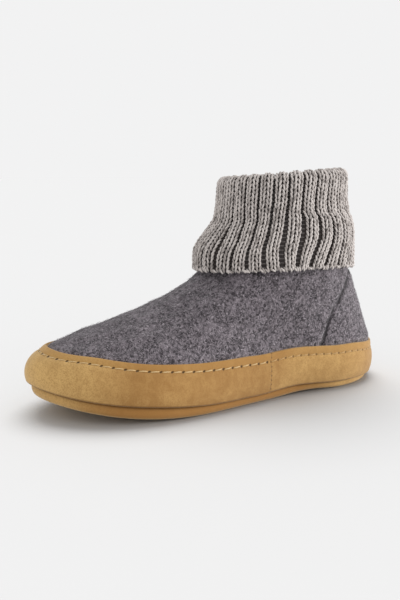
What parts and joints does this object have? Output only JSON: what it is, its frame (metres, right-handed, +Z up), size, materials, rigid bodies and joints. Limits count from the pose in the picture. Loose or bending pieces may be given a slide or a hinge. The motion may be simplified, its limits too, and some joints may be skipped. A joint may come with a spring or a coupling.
{
  "type": "felt house boot slipper",
  "caption": "Felt house boot for the left foot with a turned-down rib-knit cuff, a suede side band and a soft suede sole.",
  "frame": {"origin": "on the floor under the middle of the box around the boot", "axes": "+Z up, toe towards -Y, outer side of the foot towards +X"},
  "size_m": [0.0968, 0.2615, 0.1545],
  "materials": {
    "felt": "dark grey melange wool felt, matt and slightly hairy",
    "footbed": "grey wool felt, matt",
    "suede": "tan suede with a short nap",
    "sole_suede": "darker tan suede, slightly worn at its lower edge",
    "knit": "light grey rib-knit wool"
  },
  "bodies": {
    "root": {"outsole": "sole_suede", "insole": "footbed", "upper": "felt", "band_front": "suede", "band_heel": "suede", "cuff": "knit"}
  },
  "joints": []
}
